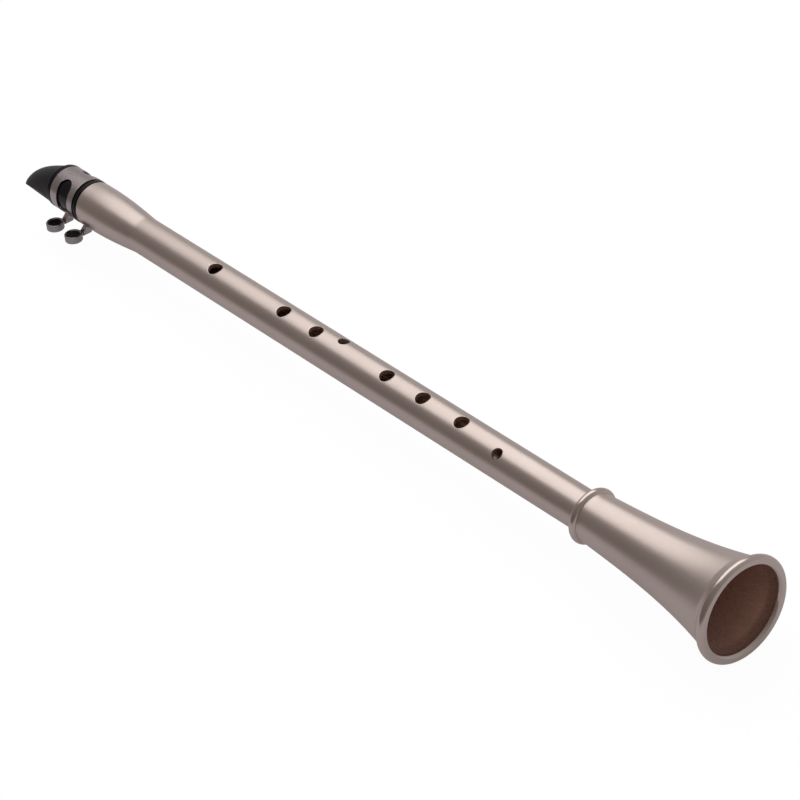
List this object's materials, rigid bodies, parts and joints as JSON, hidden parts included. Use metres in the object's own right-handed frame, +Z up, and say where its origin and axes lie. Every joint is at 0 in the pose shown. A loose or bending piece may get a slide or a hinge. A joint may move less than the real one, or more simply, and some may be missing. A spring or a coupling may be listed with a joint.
{
  "type": "pocket saxophone",
  "caption": "Keyless pocket saxophone: champagne metal tube with finger holes, pull-off flared bell, black single-reed mouthpiece and metal ligature with thumb screws.",
  "frame": {"origin": "on the plane that the instrument lies on, below the middle of its length; the rolled rim of the bell touches this plane", "axes": "+X along the axis of the tube towards the mouth of the bell, +Z up, the way the finger holes face, +Y away from the side that the picture shows"},
  "size_m": [0.4518, 0.0436, 0.0437],
  "materials": {
    "champagne_metal": "satin champagne, anodised look",
    "seal_rubber": "matte black rubber",
    "black_ebonite": "black, matte on the beak and glossier on the rings",
    "tenon_cork": "plain cork sheet",
    "reed_cane": "plain cane",
    "ligature_metal": "satin plated sheet metal",
    "screw_metal": "polished plated metal"
  },
  "bodies": {
    "tube": {"body_tube": "champagne_metal", "bell_seal_ring": "seal_rubber"},
    "bell_body": {"bell": "champagne_metal"},
    "cork_slide": {"tenon_cork": "tenon_cork"},
    "head": {"mouthpiece": "black_ebonite", "ligature_band": "ligature_metal", "front_near_lug": "ligature_metal", "front_far_lug": "ligature_metal", "rear_near_lug": "ligature_metal", "rear_far_lug": "ligature_metal"},
    "reed_body": {"reed": "reed_cane"},
    "front_screw": {"front_thumb_screw": "screw_metal"},
    "rear_screw": {"rear_thumb_screw": "screw_metal"}
  },
  "joints": [
    {"name": "bell_pull", "type": "slide", "parent": "tube", "child": "bell_body", "axis": [1, 0, 0], "range_m": [0, 0.014]},
    {"name": "tuning_slide", "type": "slide", "parent": "tube", "child": "cork_slide", "axis": [-1, 0, 0], "range_m": [0, 0.012]},
    {"name": "mouthpiece_turn", "type": "hinge", "parent": "cork_slide", "child": "head", "pos_m": [-0.1784, 0, 0.02185], "axis": [1, 0, 0], "continuous": true},
    {"name": "reed_slide", "type": "slide", "parent": "head", "child": "reed_body", "axis": [-0.9997, 0.0044, 0.022], "range_m": [0, 0.01]},
    {"name": "front_screw_turn", "type": "hinge", "parent": "head", "child": "front_screw", "pos_m": [-0.195, -0.00243, 0.00969], "axis": [0, 0.9806, -0.1959], "continuous": true},
    {"name": "rear_screw_turn", "type": "hinge", "parent": "head", "child": "rear_screw", "pos_m": [-0.1807, -0.00243, 0.00969], "axis": [0, 0.9806, -0.1959], "continuous": true}
  ]
}
